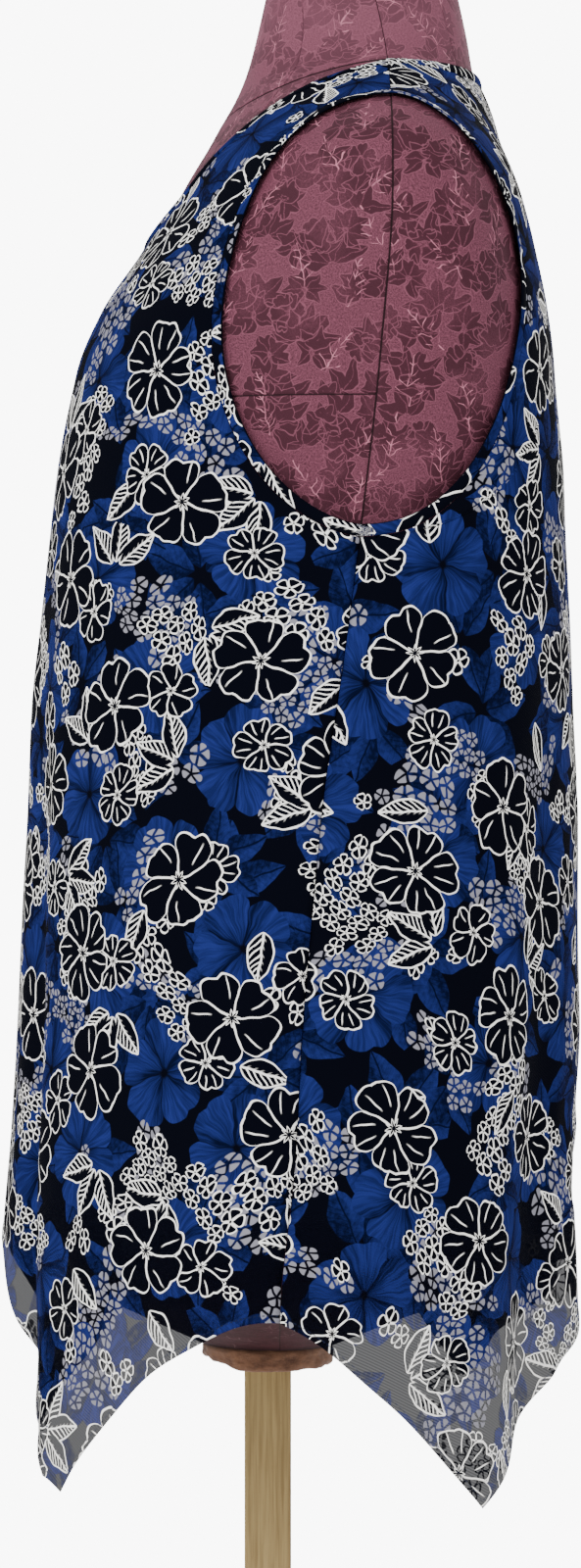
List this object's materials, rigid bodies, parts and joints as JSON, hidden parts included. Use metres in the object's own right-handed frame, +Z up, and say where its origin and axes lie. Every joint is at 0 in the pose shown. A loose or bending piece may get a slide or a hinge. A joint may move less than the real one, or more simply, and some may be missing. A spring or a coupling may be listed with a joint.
{
  "type": "tunic top on dress form",
  "caption": "Sleeveless flared tunic top in thin printed cloth with a four-point hem, worn by a padded limbless dress form on a wooden post and square base.",
  "frame": {"origin": "the middle of the base board's underside, where the stand rests on the floor", "axes": "+Z up along the post, the front of the tunic faces -Y, the wearer's left is +X"},
  "size_m": [0.5068, 0.42, 1.445],
  "materials": {
    "print_cloth": "thin, slightly sheer knit with a dense printed pattern",
    "binding_cloth": "the same knit folded over the edge",
    "form_cloth": "woven jacquard, half matt",
    "plate_leather": "matt and creased",
    "pine": "planed, without varnish"
  },
  "bodies": {
    "root": {"front_panel": "print_cloth", "back_panel": "print_cloth", "neck_binding": "binding_cloth", "armhole_binding_left": "binding_cloth", "armhole_binding_right": "binding_cloth", "form_body": "form_cloth", "bottom_plate": "plate_leather", "post": "pine", "base_board": "pine"}
  },
  "joints": []
}
